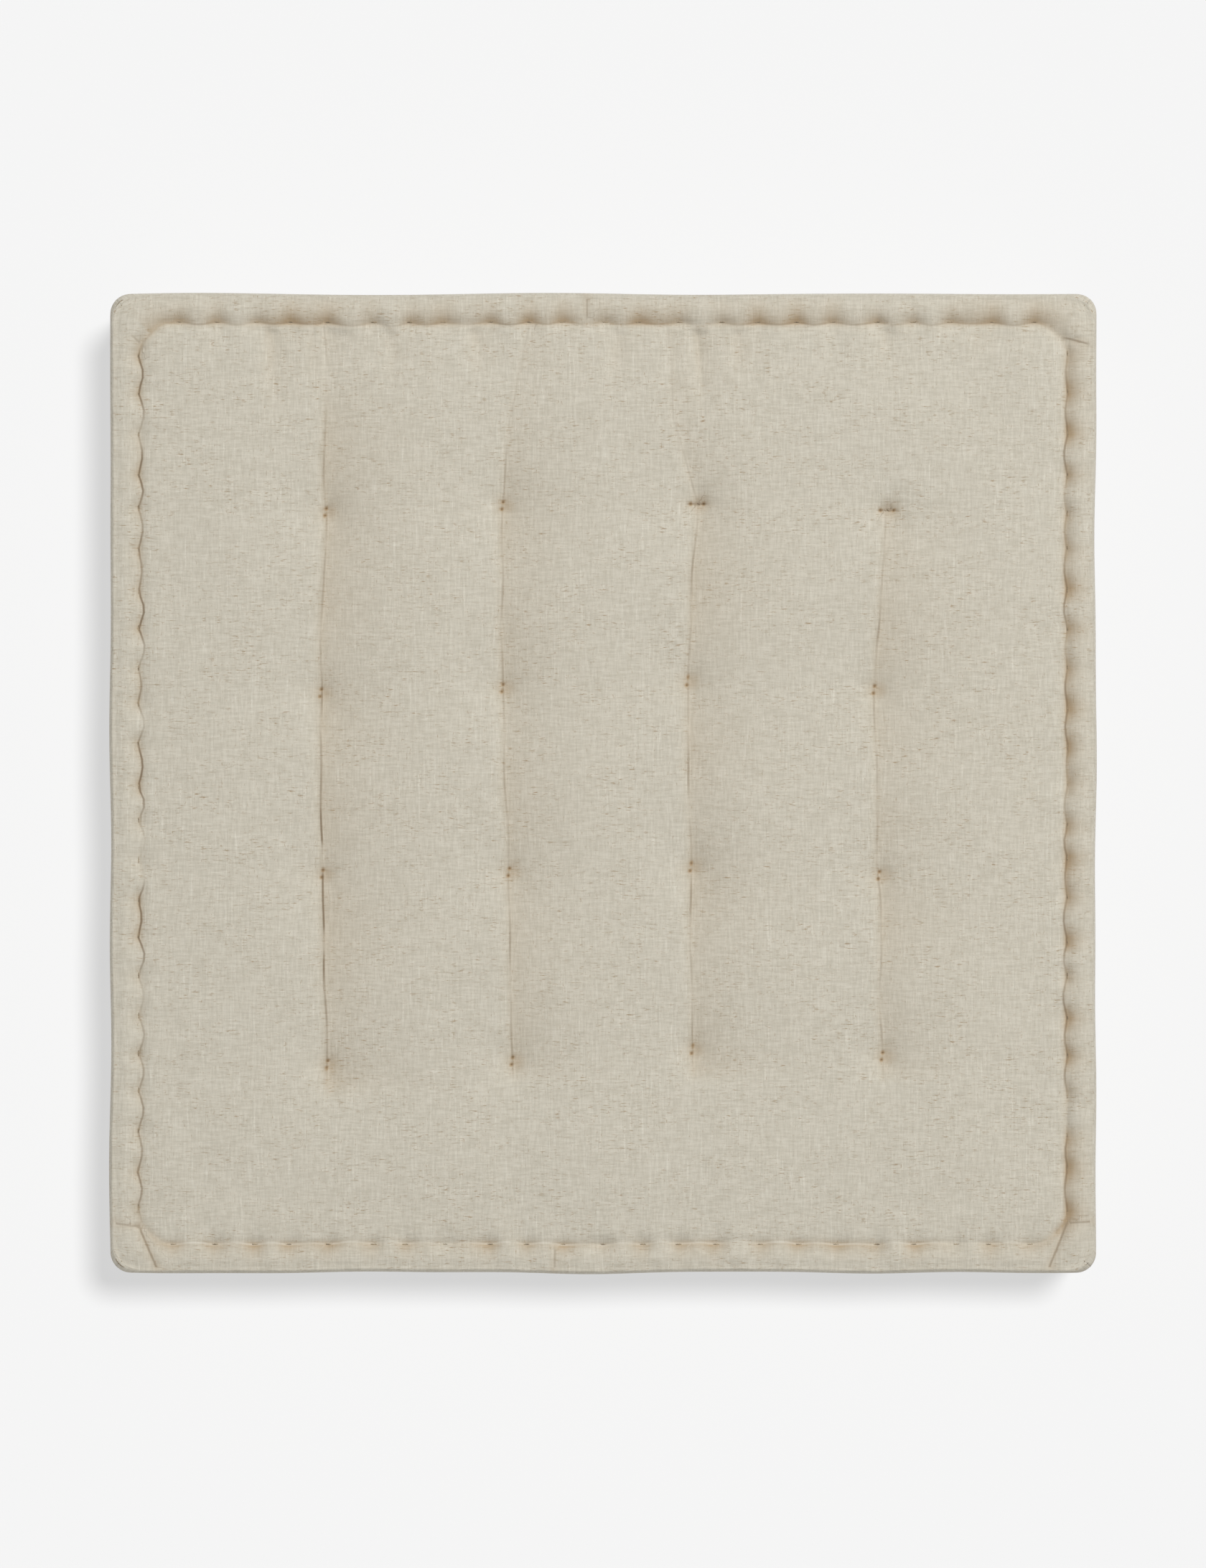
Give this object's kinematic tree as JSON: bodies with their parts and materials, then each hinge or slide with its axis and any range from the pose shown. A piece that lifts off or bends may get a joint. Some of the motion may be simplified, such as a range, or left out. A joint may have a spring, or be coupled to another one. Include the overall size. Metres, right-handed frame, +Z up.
{
  "type": "floor cushion",
  "caption": "Square boxed linen floor cushion with rolled, hand-stitched edges and a grid of thread tufts, over a foam and batting filling.",
  "frame": {"origin": "centre of the underside, on the floor, midway between the four middle tufts", "axes": "+X to the cushion's right, +Y to its back, +Z up through its thickness"},
  "size_m": [0.61, 0.606, 0.127],
  "materials": {
    "linen_cover": "matte slub linen, oatmeal",
    "foam": "open-cell foam, cream",
    "batting": "lofted fibre sheet, off-white",
    "tuft_twine": "waxed linen twine, brown",
    "stitch_thread": "linen thread, light brown",
    "seam_thread": "spun polyester thread, oatmeal"
  },
  "bodies": {
    "root": {"top_panel": "linen_cover", "bottom_panel": "linen_cover", "band_front": "linen_cover", "band_right": "linen_cover", "band_back": "linen_cover", "band_left": "linen_cover", "foam_core": "foam", "batting_top": "batting", "batting_bottom": "batting", "batting_front": "batting", "batting_right": "batting", "batting_back": "batting", "batting_left": "batting", "tuft_tie_row1_col1": "tuft_twine", "tuft_tie_row1_col2": "tuft_twine", "tuft_tie_row1_col3": "tuft_twine", "tuft_tie_row1_col4": "tuft_twine", "tuft_tie_row2_col1": "tuft_twine", "tuft_tie_row2_col2": "tuft_twine", "tuft_tie_row2_col3": "tuft_twine", "tuft_tie_row2_col4": "tuft_twine", "tuft_tie_row3_col1": "tuft_twine", "tuft_tie_row3_col2": "tuft_twine", "tuft_tie_row3_col3": "tuft_twine", "tuft_tie_row3_col4": "tuft_twine", "tuft_tie_row4_col1": "tuft_twine", "tuft_tie_row4_col2": "tuft_twine", "tuft_tie_row4_col3": "tuft_twine", "tuft_tie_row4_col4": "tuft_twine", "roll_stitch_top_front": "stitch_thread", "roll_stitch_top_right": "stitch_thread", "roll_stitch_top_back": "stitch_thread", "roll_stitch_top_left": "stitch_thread", "roll_stitch_bottom_front": "stitch_thread", "roll_stitch_bottom_right": "stitch_thread", "roll_stitch_bottom_back": "stitch_thread", "roll_stitch_bottom_left": "stitch_thread", "seam_thread_top": "seam_thread", "seam_thread_bottom": "seam_thread", "seam_thread_front_left": "seam_thread", "seam_thread_front_right": "seam_thread", "seam_thread_back_right": "seam_thread", "seam_thread_back_left": "seam_thread"}
  },
  "joints": []
}
